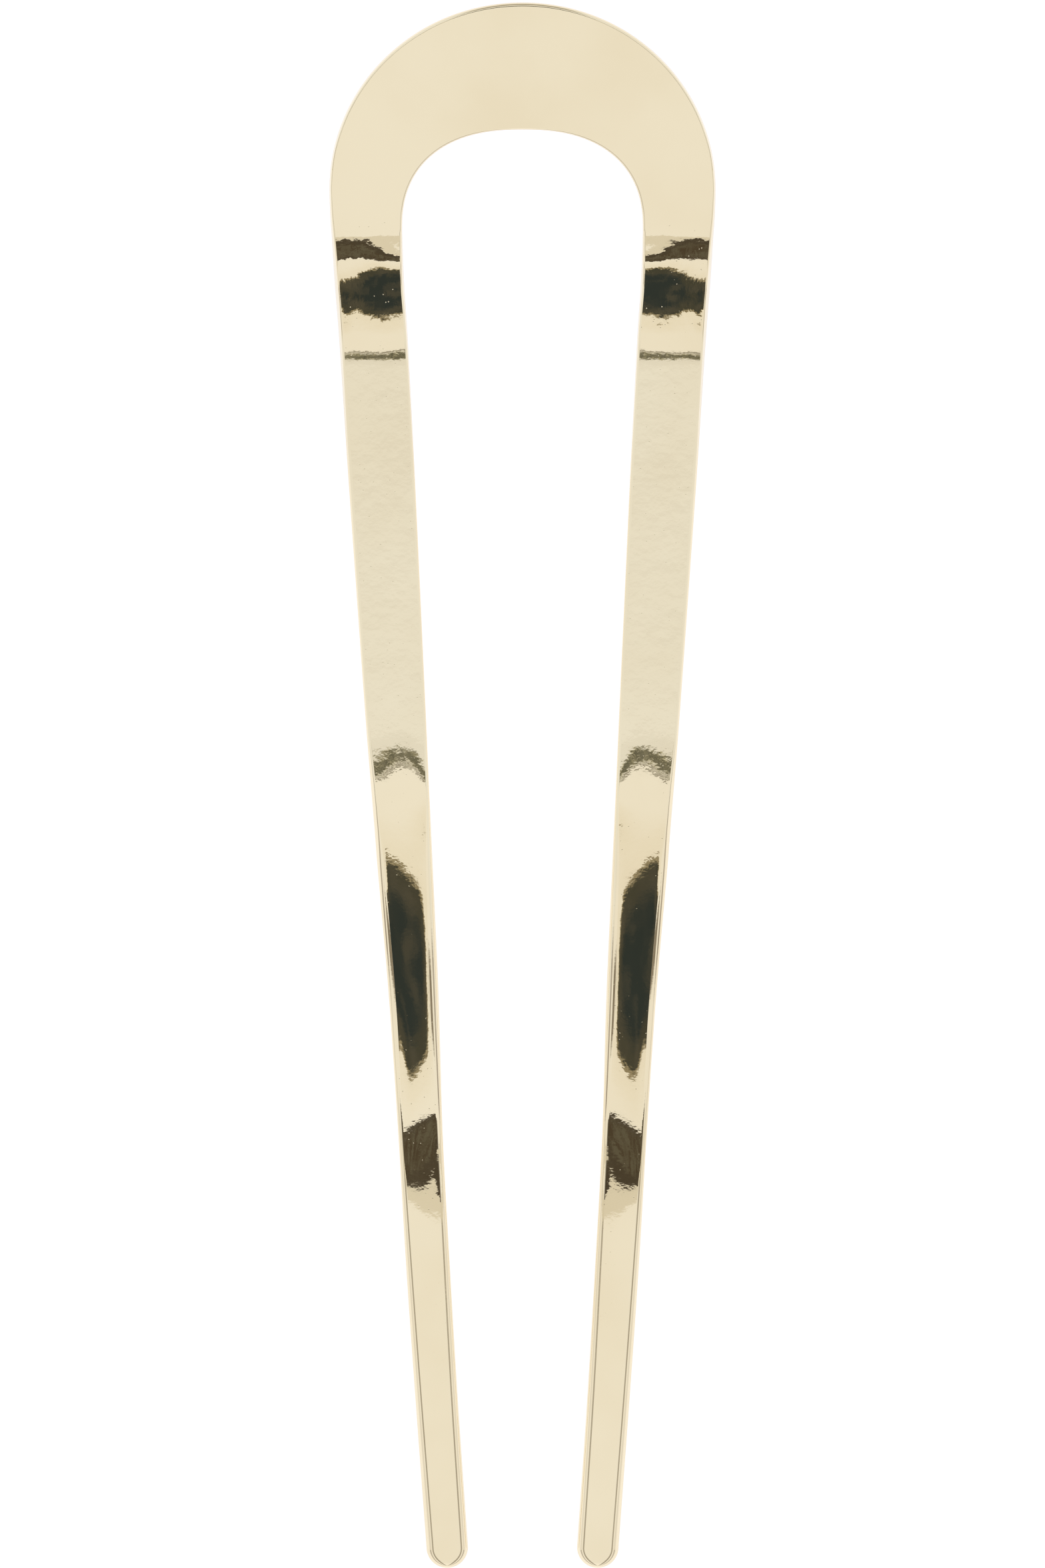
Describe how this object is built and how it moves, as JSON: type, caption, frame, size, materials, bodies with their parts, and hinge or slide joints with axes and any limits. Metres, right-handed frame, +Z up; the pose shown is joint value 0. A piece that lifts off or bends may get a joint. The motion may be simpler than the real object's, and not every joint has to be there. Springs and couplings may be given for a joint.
{
  "type": "hair fork",
  "caption": "Two-legged U-shaped metal hair pin with a flat round head, a bend at the neck, gently curved tapering legs and round tips.",
  "frame": {"origin": "on the surface the pin lies on, under the middle of its box", "axes": "+Z up from the surface, +Y from the tips towards the head, +X to the right seen from above"},
  "size_m": [0.032, 0.1298, 0.0061],
  "materials": {
    "pale_gold": "mirror-polished pale gold plating"
  },
  "bodies": {
    "root": {"hair_fork": "pale_gold"}
  },
  "joints": []
}
